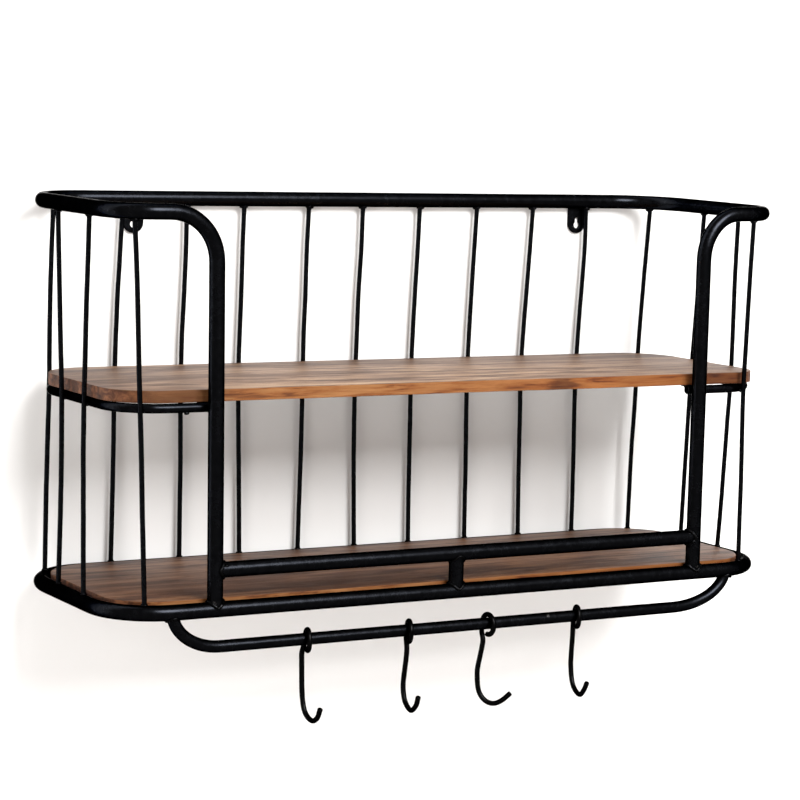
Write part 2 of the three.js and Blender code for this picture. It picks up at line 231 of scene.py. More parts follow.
# Plan of a frame: distance s along it from the middle of the back, + to the right.
def plan_point(s, front_r, inset=0.0):
    sign = 1 if s >= 0 else -1
    d = abs(s)
    run, q = HALF_W - CORNER_R, CORNER_R * math.pi / 2
    side = -FRONT_Y + BACK_Y - CORNER_R - front_r
    if d < run:
        x, y, nx, ny, tx, ty = d, BACK_Y, 0, -1, 1, 0
    elif d - run < q:
        a = (d - run) / CORNER_R
        x, y = run + CORNER_R * math.sin(a), BACK_Y - CORNER_R + CORNER_R * math.cos(a)
        nx, ny, tx, ty = -math.sin(a), -math.cos(a), math.cos(a), -math.sin(a)
    elif d - run - q < side:
        x, y, nx, ny, tx, ty = HALF_W, BACK_Y - CORNER_R - (d - run - q), -1, 0, 0, -1
    else:
        a = (d - run - q - side) / front_r
        x, y = HALF_W - front_r + front_r * math.cos(a), FRONT_Y + front_r - front_r * math.sin(a)
        nx, ny, tx, ty = -math.cos(a), math.sin(a), -math.sin(a), -math.cos(a)
    return sign * (x + nx * inset), y + ny * inset, V(sign * tx, ty, 0)


def upright_x(side, z):
    return LEAN[side][0] + LEAN[side][1] * (z + 162.0)


def top_shift(x, y):
    """The top frame sits a few mm to the left of the lower one and rises towards the wall."""
    return -4.0 - x / 392.0, -0.3 + 2.1 * (y + 250.0) / 242.0


def lean(p):
    """The uprights were not set quite plumb; the tilt fades out round the top bend."""
    if abs(p.y - FRONT_Y) > 0.5 or abs(p.x) > UPRIGHT_X + UPRIGHT_BEND_R:
        dx, dz = top_shift(p.x, p.y)
        return V(p.x + dx, p.y, p.z + dz)
    side = 1 if p.x > 0 else -1
    t = max(0.0, (abs(p.x) - UPRIGHT_X) / UPRIGHT_BEND_R)
    t = t * t * (3 - 2 * t)
    off = upright_x(side, p.z) - side * UPRIGHT_X
    dx, dz = top_shift(p.x, p.y)
    return V(p.x + off * (1 - t) + dx * t, p.y, p.z + dz * t)


# ---------------------------------------------------------------- material helpers
def new_material(name):
    m = bpy.data.materials.new(name)
    m.use_nodes = True
    nt = m.node_tree
    nt.nodes.clear()
    out = nt.nodes.new("ShaderNodeOutputMaterial")
    bsdf = nt.nodes.new("ShaderNodeBsdfPrincipled")
    nt.links.new(bsdf.outputs[0], out.inputs[0])
    return m, nt, bsdf


class Net:
    """Short names for the nodes that the materials below use."""

    def __init__(self, nt):
        self.nt = nt

    def node(self, kind, **props):
        n = self.nt.nodes.new(kind)
        for k, v in props.items():
            setattr(n, k, v)
        return n

    def link(self, a, b):
        self.nt.links.new(a, b)
        return a

    def put(self, socket, value):
        if hasattr(value, "is_output"):
            self.link(value, socket)
        else:
            socket.default_value = value

    def coords(self, scale=(1, 1, 1), offset=(0, 0, 0), turn=(0, 0, 0), source=None):
        if source is None:
            source = self.node("ShaderNodeTexCoord").outputs["Object"]
        m = self.node("ShaderNodeMapping")
        self.put(m.inputs["Vector"], source)
        m.inputs["Scale"].default_value = scale
        m.inputs["Location"].default_value = offset
        m.inputs["Rotation"].default_value = turn
        return m.outputs[0]

    def noise(self, vec, scale, detail=4.0, rough=0.55, distortion=0.0, color=False):
        n = self.node("ShaderNodeTexNoise")
        self.put(n.inputs["Vector"], vec)
        n.inputs["Scale"].default_value = scale
        n.inputs["Detail"].default_value = detail
        n.inputs["Roughness"].default_value = rough
        n.inputs["Distortion"].default_value = distortion
        return n.outputs["Color" if color else "Fac"]

    def ramp(self, fac, stops, mode="LINEAR"):
        n = self.node("ShaderNodeValToRGB")
        self.put(n.inputs[0], fac)
        cr = n.color_ramp
        cr.interpolation = mode
        while len(cr.elements) < len(stops):
            cr.elements.new(0.5)
        for e, (pos, col) in zip(cr.elements, stops):
            e.position = pos
            e.color = (*col, 1) if len(col) == 3 else col
        return n.outputs[0]

    def span(self, fac, a, b, lo=0.0, hi=1.0, clamp=True):
        n = self.node("ShaderNodeMapRange", clamp=clamp)
        self.put(n.inputs["Value"], fac)
        n.inputs["From Min"].default_value = a
        n.inputs["From Max"].default_value = b
        n.inputs["To Min"].default_value = lo
        n.inputs["To Max"].default_value = hi
        return n.outputs[0]

    def math(self, op, a, b=None, c=None):
        n = self.node("ShaderNodeMath", operation=op)
        self.put(n.inputs[0], a)
        if b is not None:
            self.put(n.inputs[1], b)
        if c is not None:
            self.put(n.inputs[2], c)
        return n.outputs[0]

    def mix(self, fac, a, b, mode="MIX"):
        n = self.node("ShaderNodeMix", data_type="RGBA", blend_type=mode)
        self.put(n.inputs[0], fac)
        for s, v in ((n.inputs[6], a), (n.inputs[7], b)):
            self.put(s, (*v, 1) if isinstance(v, tuple) and len(v) == 3 else v)
        return n.outputs[2]

    def bump(self, height, strength, distance, normal=None):
        n = self.node("ShaderNodeBump")
        self.put(n.inputs["Height"], height)
        n.inputs["Strength"].default_value = strength
        n.inputs["Distance"].default_value = distance
        if normal is not None:
            self.put(n.inputs["Normal"], normal)
        return n.outputs[0]


# ---------------------------------------------------------------- materials
def black_coat(name, base=(0.0085, 0.0093, 0.0115), rough=(0.19, 0.29), peel=0.3, scuffs=(), rim=0.0):
    """Black coating brushed or dipped onto bent steel: satin, a little uneven."""
    m, nt, bsdf = new_material(name)
    N = Net(nt)
    obj = N.coords()
    broad = N.noise(obj, 26.0, 3.0, 0.5)
    fine = N.noise(obj, 620.0, 2.0, 0.5)
    dust = N.noise(obj, 140.0, 6.0, 0.65)
    colour = N.mix(N.span(dust, 0.35, 0.75), (base[0], base[1], base[2]), (base[0] * 1.7, base[1] * 1.7, base[2] * 1.65))
    rough_v = N.math("ADD", N.span(broad, 0.25, 0.75, rough[0], rough[1]), N.span(dust, 0.3, 0.8, -0.03, 0.08))
    for x, y, z, r in scuffs:
        c = N.node("ShaderNodeVectorMath", operation="DISTANCE")
        N.put(c.inputs[0], obj)
        c.inputs[1].default_value = (x * MM, y * MM, z * MM)
        reach = N.math("ADD", N.math("DIVIDE", c.outputs["Value"], r * MM), N.span(N.noise(obj, 900.0, 3.0, 0.6), 0.2, 0.8, -0.7, 0.7))
        mark = N.span(reach, 0.55, 0.8, 0.75, 0.0)
        colour = N.mix(mark, colour, (0.10, 0.10, 0.10))
        rough_v = N.math("ADD", rough_v, N.math("MULTIPLY", mark, 0.15))
    N.put(bsdf.inputs["Base Color"], colour)
    N.put(bsdf.inputs["Roughness"], rough_v)
    bsdf.inputs["Metallic"].default_value = 1.0
    bsdf.inputs["Specular Tint"].default_value = (rim, rim, rim, 1)
    bsdf.inputs["Specular IOR Level"].default_value = 0.06
    bsdf.inputs["IOR"].default_value = 1.5
    low = N.bump(N.noise(obj, 55.0, 2.0, 0.5), 0.25, 0.0005)
    n2 = N.bump(fine, peel, 0.00012, low)
    N.put(bsdf.inputs["Normal"], N.bump(dust, 0.2, 0.0001, n2))
    return m


def wood(name, seed, tint=(1.0, 1.0, 1.0), edge_tint=(0.245, 0.106, 0.036), ends=(), edge_marks=()):
    """Lacquered mango board: grain along X, streaks, pores, darker end grain.
    ends: (x, x, amount) ranges in metres along X over which the face is made darker and warmer;
    edge_marks: (centre x, half width, amount) of dark patches along the sawn edge."""
    m, nt, bsdf = new_material(name)
    N = Net(nt)
    geo = N.node("ShaderNodeNewGeometry")
    obj = N.node("ShaderNodeTexCoord").outputs["Object"]
    # slow sideways drift of the grain lines
    drift = N.noise(N.coords((1.6, 5, 5), (seed, 0, 0), source=obj), 1.0, 2.0, 0.5, color=True)
    shift = N.node("ShaderNodeVectorMath", operation="MULTIPLY_ADD")
    N.put(shift.inputs[0], drift)
    shift.inputs[1].default_value = (0.0, 0.045, 0.02)
    N.put(shift.inputs[2], obj)
    g = shift.outputs[0]
    bands = N.noise(N.coords((0.9, 26, 26), (seed * 1.3, 3, 0), source=g), 1.0, 5.0, 0.6, 0.6)
    lines = N.noise(N.coords((2.6, 130, 130), (seed * 2.1, 1, 0), source=g), 1.0, 6.0, 0.68, 0.4)
    fibre = N.noise(N.coords((9, 620, 620), (seed, 7, 0), source=g), 1.0, 4.0, 0.7)
    pores = N.noise(N.coords((34, 900, 900), (seed, 2, 5), source=g), 1.0, 2.0, 0.5)
    patch = N.noise(N.coords((3.2, 8, 8), (seed * 0.7, 5, 1), source=obj), 1.0, 3.0, 0.5)
    figure = N.noise(N.coords((11, 72, 72), (seed * 1.7, 2, 6), source=g), 1.0, 4.0, 0.62, 0.5)
    tone = N.math("ADD", N.math("MULTIPLY", bands, 0.30), N.math("MULTIPLY", lines, 0.25))
    tone = N.math("ADD", N.math("ADD", tone, N.math("MULTIPLY", fibre, 0.10)), N.math("MULTIPLY", figure, 0.35))
    strong = N.math("MULTIPLY_ADD", tone, 3.5, -1.27)
    face = N.ramp(strong, [
        (0.30, (0.075, 0.036, 0.018)), (0.42, (0.165, 0.092, 0.053)), (0.50, (0.25, 0.152, 0.092)),
        (0.60, (0.325, 0.21, 0.131)), (0.70, (0.41, 0.275, 0.175))])
    face = N.mix(N.span(patch, 0.42, 0.66, 0.0, 0.55), face, (0.15, 0.078, 0.042))
    face = N.mix(N.span(pores, 0.60, 0.70, 0.0, 0.6), face, (0.05, 0.026, 0.016))
    face = N.mix(1.0, face, tint, "MULTIPLY")
    place = N.node("ShaderNodeSeparateXYZ")
    N.put(place.inputs[0], obj)
    px = place.outputs["X"]
    wander = N.math("ADD", px, N.span(N.noise(N.coords((4, 30, 30), (seed, 6, 2), source=g), 1.0, 3.0, 0.6), 0.25, 0.75, -0.045, 0.045))
    for x0, x1, amount in ends:
        face = N.mix(N.span(wander, x0, x1, 0.0, amount), face, N.mix(1.0, face, (0.50, 0.38, 0.27), "MULTIPLY"))
    # the sawn edges: warmer, coarser figure
    e_noise = N.noise(N.coords((7, 42, 60), (seed, 4, 2), source=obj), 1.0, 5.0, 0.62, 1.2)
    e_line = N.noise(N.coords((22, 300, 420), (seed, 4, 9), source=obj), 1.0, 4.0, 0.6, 0.8)
    e_tone = N.math("ADD", N.math("MULTIPLY", e_noise, 0.65), N.math("MULTIPLY", e_line, 0.35))
    edge = N.ramp(N.math("MULTIPLY_ADD", e_tone, 2.3, -0.64), [
        (0.28, (0.075, 0.022, 0.005)), (0.42, (0.17, 0.058, 0.014)), (0.54, (edge_tint[0] * 0.80, edge_tint[1] * 0.78, edge_tint[2] * 0.72)),
        (0.70, edge_tint)])
    edge = N.mix(N.span(px, -0.12, 0.14), edge, N.mix(1.0, edge, (0.86, 0.70, 0.52), "MULTIPLY"))
    ripple = N.math("ADD", px, N.span(N.noise(N.coords((16, 60, 130), (seed, 1, 7), source=obj), 1.0, 3.0, 0.6), 0.3, 0.7, -0.012, 0.012))
    for centre, half, amount in edge_marks:
        away = N.math("ABSOLUTE", N.math("SUBTRACT", ripple, centre))
        edge = N.mix(N.span(away, half * 0.55, half * 1.25, amount, 0.0), edge, N.mix(1.0, edge, (0.34, 0.28, 0.24), "MULTIPLY"))
    end = N.ramp(N.noise(N.coords((60, 90, 120), (seed, 8, 3), source=obj), 1.0, 5.0, 0.65, 0.5), [
        (0.35, (0.022, 0.007, 0.003)), (0.5, (0.066, 0.023, 0.010)), (0.68, (0.17, 0.065, 0.028))])
    sep = N.node("ShaderNodeSeparateXYZ")
    N.put(sep.inputs[0], geo.outputs["True Normal"])
    flat = N.span(N.math("ABSOLUTE", sep.outputs["Z"]), 0.55, 0.85)
    side = N.span(N.math("ABSOLUTE", sep.outputs["X"]), 0.25, 0.8)
    colour = N.mix(flat, N.mix(side, edge, end), face)
    N.put(bsdf.inputs["Base Color"], colour)
    rough = N.math("ADD", N.span(tone, 0.35, 0.65, 0.56, 0.44), N.span(pores, 0.6, 0.72, 0.0, 0.2))
    rough = N.math("ADD", rough, N.math("MULTIPLY", N.math("SUBTRACT", 1.0, flat), 0.16))
    N.put(bsdf.inputs["Roughness"], rough)
    bsdf.inputs["Specular IOR Level"].default_value = 0.22
    bsdf.inputs["IOR"].default_value = 1.5
    b1 = N.bump(fibre, 0.22, 0.0002)
    b2 = N.bump(N.span(pores, 0.58, 0.72, 1.0, 0.0), 0.35, 0.0002, b1)
    N.put(bsdf.inputs["Normal"], N.bump(bands, 0.25, 0.0006, b2))
    return m


STEEL = black_coat("black_coated_steel", scuffs=((101, -255, -399.5, 2.6), (-291, -256, -359, 3.0), (291, -256, -359, 3.0)))
WELD = black_coat("black_coated_weld", base=(0.0075, 0.0077, 0.0085), rough=(0.20, 0.34), peel=0.8)
HOOK = black_coat("black_coated_hook", base=(0.0058, 0.0058, 0.0062), rough=(0.22, 0.38), peel=0.9)
SCREW = black_coat("blackened_screw", base=(0.010, 0.010, 0.011), rough=(0.24, 0.34), peel=0.3)
WOOD_MID = wood("mango_middle", 3.7, (0.78, 0.74, 0.70), ends=((0.30, 0.36, 0.75), (-0.25, -0.35, 0.75)),
                edge_marks=((0.118, 0.017, 0.8), (0.345, 0.05, 0.75), (-0.335, 0.055, 0.9)))
# the lower board's copy of the wood is tinted darker and warmer than the middle one: painted shade, for the shade that
# the middle board casts on it
WOOD_LOW_PAINTED_SHADE = wood("mango_lower_painted_shade", 11.2, (0.42, 0.29, 0.205))

# ---------------------------------------------------------------- frame tubes
corner_x = HALF_W - TOP_FRONT_R
X, Y, Z = V(1, 0, 0), V(0, 1, 0), V(0, 0, 1)
right_half = [V(UPRIGHT_X, FRONT_Y, BOTTOM_Z + 2.0), V(UPRIGHT_X, FRONT_Y, TOP_Z - UPRIGHT_BEND_R - 4)]
right_half += arc(V(UPRIGHT_X + UPRIGHT_BEND_R, FRONT_Y, TOP_Z - UPRIGHT_BEND_R), V(-1, 0, 0), Z, UPRIGHT_BEND_R, 0, 90)
right_half += arc(V(corner_x, FRONT_Y + TOP_FRONT_R, TOP_Z), V(0, -1, 0), X, TOP_FRONT_R, 0, 90)[1:]
right_half += arc(V(HALF_W - CORNER_R, BACK_Y - CORNER_R, TOP_Z), X, Y, CORNER_R, 0, 90)
path = soften([lean(p) for p in densify(right_half + mirror_x(right_half), 3.0)], 6)
mesh_object("frame_top_and_uprights", *sweep(path, TUBE_R, 40, uneven=0.10, freq=0.016, seed=1.3), STEEL, "shelf", ["top_frame_tube"], "black_steel")


def loop_path(half_w, back, front, rb, rf, z, right_rf=None):
    pts = arc(V(half_w - rb, back - rb, z), X, Y, rb, 0, 90)
    pts += arc(V(-half_w + rb, back - rb, z), Y, -X, rb, 0, 90)
    pts += arc(V(-half_w + rf, front + rf, z), -X, -Y, rf, 0, 90)
    rr = right_rf or rf
    pts += arc(V(half_w - rr, front + rr, z), -Y, X, rr, 0, 90)
    return pts


path = soften(densify(loop_path(HALF_W, BACK_Y, FRONT_Y, CORNER_R, CORNER_R, BOTTOM_Z - 0.4), 3.0, True), 6, True)
mesh_object("frame_bottom_loop", *sweep(path, TUBE_R, 40, closed=True, uneven=0.10, freq=0.016, seed=4.1), STEEL, "shelf", ["bottom_frame_tube"], "black_steel")

rod_side = HALF_W - WIRE_R - ROD_R - 0.3
rod_back = BACK_Y - WIRE_R - ROD_R - 0.3
rod_br, rod_fr = CORNER_R - WIRE_R - ROD_R - 0.3, 52.0
rod_half = [V(ROD_END_X, ROD_FRONT_Y, ROD_Z)]
rod_half += arc(V(rod_side - rod_fr, ROD_FRONT_Y + rod_fr, ROD_Z), V(0, -1, 0), X, rod_fr, 0, 90)
rod_half += arc(V(rod_side - rod_br, rod_back - rod_br, ROD_Z), X, Y, rod_br, 0, 90)
path = soften(densify(rod_half + mirror_x(rod_half), 3.0), 4)
mesh_object("board_support_rod", *sweep(path, ROD_R, 28, uneven=0.08, freq=0.02, seed=2.2, bevel=0.8), STEEL, "shelf", ["middle_support_rod"], "black_steel")

path = densify([V(upright_x(-1, GALLERY_Z) + 3, FRONT_Y, GALLERY_Z), V(upright_x(1, GALLERY_Z) - 3, FRONT_Y, GALLERY_Z)], 4.0)
mesh_object("gallery_rail_tube", *sweep(path, TUBE_R, 40, uneven=0.10, freq=0.016, seed=6.4), STEEL, "shelf", ["gallery_rail"], "black_steel")
path = densify([V(POST_X, FRONT_Y, BOTTOM_Z + 2), V(POST_X, FRONT_Y, GALLERY_Z - 2)], 1.5)
mesh_object("gallery_post_tube", *sweep(path, TUBE_R - 0.05, 40, uneven=0.12, freq=0.05, seed=7.4), STEEL, "shelf", ["gallery_post"], "black_steel")

def rail_end(side):
    """From the straight run outwards and up to the lower frame: a quarter of an ellipse."""
    cx, reach = RAIL_ENDS[side]
    rise = BOTTOM_Z - HOOK_RAIL_Z
    out = []
    for i in range(49):
        a = math.radians(90 - 88 * i / 48)
        out.append(V(cx + side * reach * math.cos(a), FRONT_Y, BOTTOM_Z - rise * math.sin(a)))
    return out


path = soften(densify(list(reversed(rail_end(-1))) + rail_end(1), 2.5), 4)
mesh_object("hook_rail_tube", *sweep(path, RAIL_R, 36, uneven=0.07, freq=0.02, seed=8.8), STEEL, "shelf", ["hook_rail"], "black_steel")

# ---------------------------------------------------------------- wires
WIRE_Z = (-357.7, -310, -262, -215, ROD_Z, -122, -76, -30, 15.7)
# where each wire stands along the frame at those heights, and how far it is set in at the rod
WIRES = [
    ("wire_front_left", (-612.2, -611.1, -609.9, -609.0, -607.5, -607.1, -607.1, -606.7, -605.7), 3.6),
    ("wire_side_left_front", (-526.0, -524.3, -522.6, -521.2, -521.2, -524.4, -527.6, -531.7, -535.2), 0),
    ("wire_side_left_rear", (-461.4, -463.7, -465.2, -465.3, -464.1, -462.0, -460.1, -458.2, -456.3), 0),
    ("wire_corner_left", (-382.1, -381.3, -380.2, -378.0, -376.0, -374.9, -372.9, -369.8, -366.0), 0),
    ("wire_back_1", (-293.2, -292.6, -292.1, -292.0, -292.0, -290.4, -288.1, -285.1, -281.9), 0),
    ("wire_back_2", (-213.5, -213.7, -213.9, -214.7, -215.2, -214.0, -211.5, -209.3, -208.2), 0),
    ("wire_back_3", (-141.8, -143.0, -144.4, -145.8, -147.0, -145.7, -143.7, -142.4, -140.5), 0),
    ("wire_back_4", (-70.0, -69.6, -68.9, -68.7, -68.8, -67.8, -65.9, -64.4, -62.0), 0),
    ("wire_back_5", (0.7, -0.9, -2.3, -3.1, -3.2, -1.5, 0.3, 3.3, 5.0), 0),
    ("wire_back_6", (70.3, 69.4, 68.9, 68.5, 68.0, 69.8, 72.3, 75.2, 77.4), 0),
    ("wire_back_7", (144.4, 143.7, 143.1, 142.0, 141.5, 143.5, 146.1, 149.0, 152.0), 0),
    ("wire_back_8", (216.9, 215.6, 214.8, 214.1, 213.3, 216.1, 219.8, 223.5, 226.9), 0),
    ("wire_back_9", (290.8, 290.6, 289.9, 288.9, 288.9, 291.5, 295.1, 298.6, 299.6), 0),
    ("wire_corner_right", (365.6, 366.1, 366.7, 368.3, 369.2, 371.6, 374.6, 377.9, 381.3), 0),
    ("wire_side_right_rear", (443.0, 444.8, 446.5, 448.2, 450.0, 454.7, 459.5, 464.2, 469.0), 0),
    ("wire_side_right_front", (514.6, 518.0, 520.5, 522.9, 525.6, 527.6, 528.7, 530.5, 533.4), 0),
    ("wire_front_right", (615.8, 617.2, 618.4, 620.8, 622.5, 622.5, 622.2, 622.0, 621.1), 3.6),
]


def lumpy(v, f, c, amount, freq, seed):
    """Pushes a closed shell's points in and out, for hand-laid weld metal."""
    out = []
    for p in v:
        d = p - c
        k = noise.noise(p * freq + V(seed, 0, seed)) * amount
        out.append(p + d.normalized() * k if d.length > 1e-6 else p)
    return out, f


def blob(c, a, b, h, ax=X, ay=Y, az=Z, seed=0.0, amount=0.35):
    """An egg of half sizes a, b, h with an uneven skin."""
    verts, faces, n, m = [], [], 14, 9
    for i in range(1, m):
        t = math.pi * i / m
        for j in range(n):
            u = 2 * math.pi * j / n
            verts.append(c + ax * (a * math.sin(t) * math.cos(u)) + ay * (b * math.sin(t) * math.sin(u)) + az * (h * math.cos(t)))
    top, bottom = len(verts), len(verts) + 1
    verts += [c + az * h, c - az * h]
    for i in range(m - 2):
        for j in range(n):
            k = (j + 1) % n
            faces.append((i * n + j, i * n + k, (i + 1) * n + k, (i + 1) * n + j))
    for j in range(n):
        k = (j + 1) % n
        faces.append((top, k, j))
        faces.append((bottom, (m - 2) * n + j, (m - 2) * n + k))
    return lumpy(verts, faces, c, amount, 0.5, seed)


def saddle_bead(c, big_axis, out_dir, r, R, b, seed, n=56, sides=12, push=0.2, ripples=26):
    """Weld bead where a tube of radius r, leaving along out_dir, meets one of radius R centred at c."""
    a, o = big_axis.normalized(), out_dir.normalized()
    a = (a - o * a.dot(o)).normalized()
    e = a.cross(o)
    pts, rr = [], []
    for i in range(n):
        t = 2 * math.pi * i / n
        ct = math.cos(t) * r
        h = math.sqrt(max(R * R - ct * ct, 0.0))
        radial = e * math.cos(t) + a * math.sin(t)
        normal = (e * ct + o * h).normalized()
        p = c + e * ct + a * (r * math.sin(t)) + o * h
        k = noise.noise(p * 0.35 + V(seed, seed, 0))
        p = p + (radial + normal).normalized() * (b * push) + o * (0.25 * k * b)
        pts.append(p)
        rr.append(b * (1.0 + 0.28 * k + 0.07 * math.sin(ripples * t + seed)))
    return sweep(pts, lambda i: rr[i % n], sides, closed=True, uneven=0.12 * b, freq=0.6, seed=seed)


def open_bead(p0, p1, b, seed, n=22, sides=12):
    pts, rr = [], []
    for i in range(n + 1):
        t = i / n
        p = p0.lerp(p1, t)
        k = noise.noise(p * 0.4 + V(seed, 1, 0))
        pts.append(p + V(0, 0, 0.2 * b * k))
        rr.append(b * (1.0 + 0.25 * k + 0.08 * math.sin(9 * t * math.pi * 2)) * (0.75 + 0.25 * math.sin(math.pi * t)))
    return sweep(pts, lambda i: rr[i], sides, ends=("round", "round"), uneven=0.1 * b, freq=0.6, seed=seed)


top_beads, low_beads, rod_beads = [], [], []
for k, (name, stations, inset) in enumerate(WIRES):
    ctrl = []
    for s, z in zip(stations, WIRE_Z):
        up = (z - WIRE_Z[0]) / (WIRE_Z[-1] - WIRE_Z[0])
        set_in = inset * (1 - abs(z - ROD_Z) / (ROD_Z - WIRE_Z[0] if z < ROD_Z else WIRE_Z[-1] - ROD_Z))
        x, y, _ = plan_point(s, CORNER_R + (TOP_FRONT_R - CORNER_R) * up, set_in)
        dx, dz = top_shift(x, y)
        t = max(0.0, (z - ROD_Z) / (WIRE_Z[-1] - ROD_Z))
        ctrl.append(V(x + dx * t, y, z + dz * t))
    tx, ty, tt = plan_point(stations[-1], TOP_FRONT_R)
    dx, tz = top_shift(tx, ty)
    tx, tz = tx + dx, TOP_Z + tz
    mx, my, mt = plan_point(stations[4], (CORNER_R + TOP_FRONT_R) / 2, inset)
    bx, by, bt = plan_point(stations[0], CORNER_R)
    pts = catmull(ctrl, 12)
    for i, p in enumerate(pts):
        t = i / (len(pts) - 1)
        hold = min(1.0, 6 * t, 6 * (1 - t))
        p.x += hold * (0.12 * noise.noise(V(k * 3.3, 0, p.z * 0.03)) + 0.10 * noise.noise(V(k * 5.1, 3, p.z * 0.08)))
    pts = [V(bx, by, BOTTOM_Z + 4.5)] + pts + [V(tx, ty, tz - 4.5)]
    pts = soften(densify(pts, 3.0), 3)
    mesh_object(name + "_bent", *sweep(pts, WIRE_R, 20, uneven=0.09, freq=0.05, seed=k * 1.7), STEEL, "shelf", [name], "black_steel")
    top_beads.append(saddle_bead(V(tx, ty, tz), tt, V(0, 0, -1), WIRE_R, TUBE_R, 1.35, k + 0.5, 30, 10, 0.15, 9))
    if noise.noise(V(k * 4.7, 1, 2)) > -0.25:
        side = 1 if noise.noise(V(2, k * 3.9, 7)) > 0 else -1
        top_beads.append(blob(V(tx, ty, tz - TUBE_R - 0.2) + Vector(tt) * (side * (WIRE_R + 0.6)), 2.3, 1.9, 1.9, Vector(tt), Vector(tt).cross(Z), Z, k * 1.3, 0.5))
    low_beads.append(saddle_bead(V(bx, by, BOTTOM_Z), bt, V(0, 0, 1), WIRE_R, TUBE_R, 0.95, k + 9.5, 30, 10, 0.1, 9))
    # the wire touches the outside of the rod; weld metal below the touching point
    inward = V(-mt.y, mt.x, 0) if mx < 0 else V(mt.y, -mt.x, 0)
    if abs(my - BACK_Y) < 1:
        inward = V(0, -1, 0)
    c = V(mx, my, ROD_Z) + inward * (WIRE_R + 0.2)
    for s in (1, -1):
        if s > 0:
            continue
        rod_beads.append(blob(c + V(0, 0, s * 2.4) + inward * 0.5, 2.6, 1.7, 1.9, Vector(mt), inward, Z, k + s, 0.4))
mesh_object("welds_wires_top", *join(top_beads), WELD, "shelf", slot="black_steel")
mesh_object("welds_wires_bottom", *join(low_beads), WELD, "shelf", slot="black_steel")

# ---------------------------------------------------------------- tube welds
beads = []
for s in (-1, 1):
    beads.append(saddle_bead(V(upright_x(s, BOTTOM_Z), FRONT_Y, BOTTOM_Z), X, Z, TUBE_R - 0.35, TUBE_R, 1.9, 3 + s, 90))
    beads.append(saddle_bead(V(upright_x(s, GALLERY_Z), FRONT_Y, GALLERY_Z), Z, V(-s, 0, 0), TUBE_R - 0.35, TUBE_R, 2.0, 7 + s, 90))
    beads.append(saddle_bead(V(RAIL_ENDS[s][0] + s * RAIL_ENDS[s][1], FRONT_Y, BOTTOM_Z), X, V(0, 0, -1), RAIL_R - 0.1, TUBE_R, 1.5, 12 + s, 80))
    # rod behind the upright
    for z in (-3.4, 3.2):
        beads.append(blob(V(s * (abs(upright_x(s, ROD_Z)) + 1.5), FRONT_Y + TUBE_R + 1.3, ROD_Z + z), 4.2, 2.0, 1.8, seed=20 + s + z, amount=0.5))
# a run of weld metal that dripped under the rod, and a lump by the left end of the rail
beads.append(blob(V(-315.5, ROD_FRONT_Y - 0.5, ROD_Z - ROD_R - 0.3), 2.6, 2.2, 1.9, seed=44, amount=0.5))
beads.append(blob(V(upright_x(-1, GALLERY_Z) + 9.5, FRONT_Y - 5.4, GALLERY_Z + 4.4), 3.0, 2.4, 2.0, seed=47, amount=0.6))
beads.append(blob(V(upright_x(1, GALLERY_Z) - 9.5, FRONT_Y - 5.4, GALLERY_Z + 4.4), 2.6, 2.2, 2.0, seed=49, amount=0.6))
beads.append(saddle_bead(V(POST_X, FRONT_Y, BOTTOM_Z), X, Z, TUBE_R - 0.35, TUBE_R, 1.7, 31, 90))
beads.append(saddle_bead(V(POST_X, FRONT_Y, GALLERY_Z), X, V(0, 0, -1), TUBE_R - 0.35, TUBE_R, 1.6, 37, 90))
mesh_object("welds_tubes", *join(beads), WELD, "shelf", slot="black_steel")
mesh_object("welds_rod", *join(rod_beads), WELD, "shelf", slot="black_steel")


# ---------------------------------------------------------------- plates: tabs and lugs
def plate(outer, holes, t, bevel=0.35):
    """A flat plate with eased edges: outer and holes are lists of (u, v), thickness t along w."""
    cu = bpy.data.curves.new("plate", "CURVE")
    cu.dimensions = "2D"
    cu.fill_mode = "BOTH"
    cu.extrude = (t / 2 - bevel) * MM
    cu.bevel_depth = bevel * MM
    cu.bevel_resolution = 2
    cu.offset = -bevel * MM
    for loop in [outer] + holes:
        sp = cu.splines.new("POLY")
        sp.points.add(len(loop) - 1)
        for p, (a, b) in zip(sp.points, loop):
            p.co = (a * MM, b * MM, 0, 1)
        sp.use_cyclic_u = True
    tmp = bpy.data.objects.new("plate", cu)
    me = bpy.data.meshes.new_from_object(tmp)
    verts = [v.co.copy() * 1000 for v in me.vertices]
    faces = [tuple(p.vertices) for p in me.polygons]
    bpy.data.objects.remove(tmp)
    bpy.data.curves.remove(cu)
    bpy.data.meshes.remove(me)
    return verts, faces


TAB_T, TAB_W, TOP_RISE = 3.0, 22.5, 1.8
for name, x in (("left", -270.5), ("right", 286.0)):
    top, r = TOP_Z + TOP_RISE - math.sqrt(TUBE_R ** 2 - (TUBE_R - TAB_T) ** 2) + 1.2, TAB_W / 2
    low = -11 + r
    outer = [(-r, top), (-r, low)] + [(r * math.cos(a), low + r * math.sin(a)) for a in (math.pi + i / 24 * math.pi for i in range(1, 25))] + [(r, top)]
    hr, sr = 3.9, 2.4
    j = math.asin(sr / hr)
    hole = [(hr * math.cos(a), -1.5 + hr * math.sin(a)) for a in (math.pi / 2 + j + i / 28 * (2 * math.pi - 2 * j) for i in range(29))]
    hole += [(sr * math.cos(a), 4.8 + sr * math.sin(a)) for a in (i / 14 * math.pi for i in range(15))]
    v, f = plate(outer, [hole[::-1]], TAB_T)
    v = [V(x + p.x, -TAB_T / 2 + p.z, p.y) for p in v]
    mesh_object("keyhole_tab_" + name, v, f, STEEL, "shelf", ["hanger_tab_" + name], "black_steel", sharp=35)
    zz = TOP_Z + TOP_RISE - math.sqrt(TUBE_R ** 2 - (TUBE_R - TAB_T) ** 2)
    v, f = open_bead(V(x - r + 1, -TAB_T - 0.4, zz + 0.1), V(x + r - 1, -TAB_T - 0.4, zz + 0.1), 1.5, x)
    mesh_object("weld_tab_" + name, v, f, WELD, "shelf", slot="black_steel")

